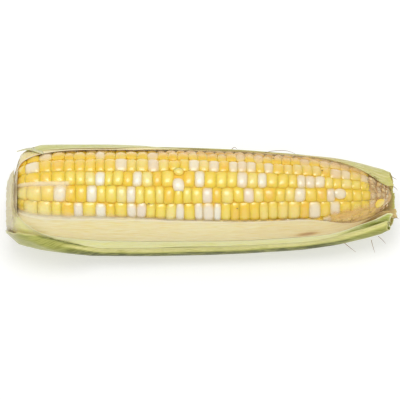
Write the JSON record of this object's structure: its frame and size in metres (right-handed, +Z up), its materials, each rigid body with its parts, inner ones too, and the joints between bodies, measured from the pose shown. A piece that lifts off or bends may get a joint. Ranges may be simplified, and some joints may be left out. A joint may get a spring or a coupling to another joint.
{
  "type": "ear of sweet corn in a trimmed husk",
  "caption": "Ear of bicolor sweet corn lying on its side in a husk trimmed at both ends, with a long window cut in its top that shows the kernels.",
  "frame": {"origin": "middle of the bounding box, on the surface that the husk lies on", "axes": "+Z up, +X along the ear from the cut stalk end to the tip, -Y to the side where the husk is pushed open"},
  "size_m": [0.1999, 0.0578, 0.0518],
  "materials": {
    "kernels": "moist and slightly glossy kernel skins, yellow and white",
    "stalk": "freshly cut, matte, fibrous",
    "husk_cream": "smooth inner husk leaf with fine lengthwise veins, soft sheen",
    "husk_pale_green": "pale green husk leaf with lengthwise veins, soft sheen",
    "husk_green": "green husk leaf with lengthwise veins, soft sheen",
    "husk_olive": "olive green outer husk leaf with lengthwise veins, satin"
  },
  "bodies": {
    "root": {"ear": "kernels", "stalk": "stalk", "husk_inner_front": "husk_cream", "husk_inner_back": "husk_cream", "husk_second_front": "husk_pale_green", "husk_middle_front": "husk_pale_green", "husk_middle_back": "husk_green", "husk_outer_front": "husk_olive", "husk_outer_under": "husk_olive"}
  },
  "joints": []
}
